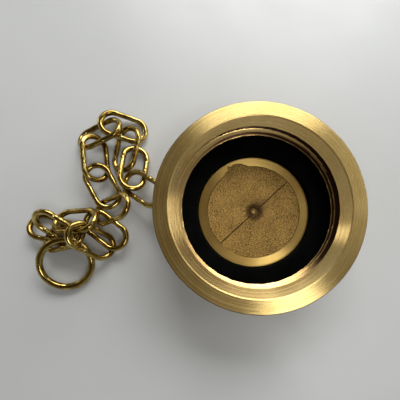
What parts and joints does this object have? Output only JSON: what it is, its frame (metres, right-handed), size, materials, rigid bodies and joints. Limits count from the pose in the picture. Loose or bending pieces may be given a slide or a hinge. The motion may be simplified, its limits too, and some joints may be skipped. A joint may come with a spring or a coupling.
{
  "type": "pipe cap",
  "caption": "Round cap with an internal hose thread, a seated flat gasket and a welded retaining chain with an end ring, for closing a pipe or hose outlet.",
  "frame": {"origin": "centre of the flat resting face of the closed crown, on the thread axis", "axes": "+Z along the thread axis out of the open mouth; the chain eye and the chain are on the -X side"},
  "size_m": [0.1737, 0.1104, 0.0321],
  "materials": {
    "cap_brass": "turned rim and seat, as-cast disc and outside",
    "seal_rubber": "moulded, matt",
    "chain_brass": "bright drawn wire"
  },
  "bodies": {
    "cap": {"cap_body": "cap_brass", "gasket": "seal_rubber"},
    "link_01": {"chain_link_01": "chain_brass"},
    "link_02": {"chain_link_02": "chain_brass"},
    "link_03": {"chain_link_03": "chain_brass"},
    "link_04": {"chain_link_04": "chain_brass"},
    "link_05": {"chain_link_05": "chain_brass"},
    "link_06": {"chain_link_06": "chain_brass"},
    "link_07": {"chain_link_07": "chain_brass"},
    "link_08": {"chain_link_08": "chain_brass"},
    "link_09": {"chain_link_09": "chain_brass"},
    "link_10": {"chain_link_10": "chain_brass"},
    "link_11": {"chain_link_11": "chain_brass"},
    "link_12": {"chain_link_12": "chain_brass"},
    "link_13": {"chain_link_13": "chain_brass"},
    "link_14": {"chain_link_14": "chain_brass"},
    "end_ring": {"end_ring": "chain_brass"}
  },
  "joints": [
    {"name": "link_01_swing", "type": "hinge", "parent": "cap", "child": "link_01", "pos_m": [-0.04875, 0.0086, 0.012], "axis": [0.1736, 0.9848, 0], "range_deg": [-47.5, 60]},
    {"name": "link_02_swing", "type": "hinge", "parent": "link_01", "child": "link_02", "pos_m": [-0.06577, 0.02237, 0.00614], "axis": [-0.7071, 0, -0.7071], "range_deg": [-5, 45]},
    {"name": "link_03_swing", "type": "hinge", "parent": "link_02", "child": "link_03", "pos_m": [-0.06913, 0.03618, 0.00438], "axis": [-0.7071, 0, 0.7071], "range_deg": [-45, 3]},
    {"name": "link_04_swing", "type": "hinge", "parent": "link_03", "child": "link_04", "pos_m": [-0.06938, 0.04882, 0.00344], "axis": [0, 0.7071, -0.7071], "range_deg": [-2, 45]},
    {"name": "link_05_swing", "type": "hinge", "parent": "link_04", "child": "link_05", "pos_m": [-0.08123, 0.04528, 0.00621], "axis": [-0.7071, -0.7071, 0], "range_deg": [-3, 45]},
    {"name": "link_06_swing", "type": "hinge", "parent": "link_05", "child": "link_06", "pos_m": [-0.08938, 0.0367, 0.00708], "axis": [-0.7071, 0.7071, 0], "range_deg": [-12.5, 45]},
    {"name": "link_07_swing", "type": "hinge", "parent": "link_06", "child": "link_07", "pos_m": [-0.0857, 0.01825, 0.00577], "axis": [-0.3827, -0.9239, 0], "range_deg": [-2, 42.5]},
    {"name": "link_08_swing", "type": "hinge", "parent": "link_07", "child": "link_08", "pos_m": [-0.08003, 0.0031, 0.00564], "axis": [-0.5774, 0.5774, 0.5774], "range_deg": [-22.5, 5]},
    {"name": "link_09_swing", "type": "hinge", "parent": "link_08", "child": "link_09", "pos_m": [-0.08311, -0.00589, 0.0051], "axis": [0, 0.7071, 0.7071], "range_deg": [-3, 45]},
    {"name": "link_10_swing", "type": "hinge", "parent": "link_09", "child": "link_10", "pos_m": [-0.08132, -0.01702, 0.00505], "axis": [1, 0, 0], "range_deg": [-1, 45]},
    {"name": "link_11_swing", "type": "hinge", "parent": "link_10", "child": "link_11", "pos_m": [-0.08918, -0.00667, 0.01249], "axis": [0.5774, 0.5774, 0.5774], "range_deg": [0, 27.5]},
    {"name": "link_12_swing", "type": "hinge", "parent": "link_11", "child": "link_12", "pos_m": [-0.10644, -0.00858, 0.00798], "axis": [0, 0, 1], "range_deg": [-2, 2]},
    {"name": "link_13_swing", "type": "hinge", "parent": "link_12", "child": "link_13", "pos_m": [-0.10965, -0.01191, 0.00465], "axis": [-1, 0, 0], "range_deg": [-1, 1]},
    {"name": "link_14_swing", "type": "hinge", "parent": "link_13", "child": "link_14", "pos_m": [-0.10624, -0.01654, 0.00589], "axis": [-0.9239, -0.3827, 0], "range_deg": [-1, 1]},
    {"name": "end_ring_swing", "type": "hinge", "parent": "link_14", "child": "end_ring", "pos_m": [-0.10317, -0.01981, 0.00815], "axis": [0, -0.7071, 0.7071], "range_deg": [-4, 5]}
  ]
}
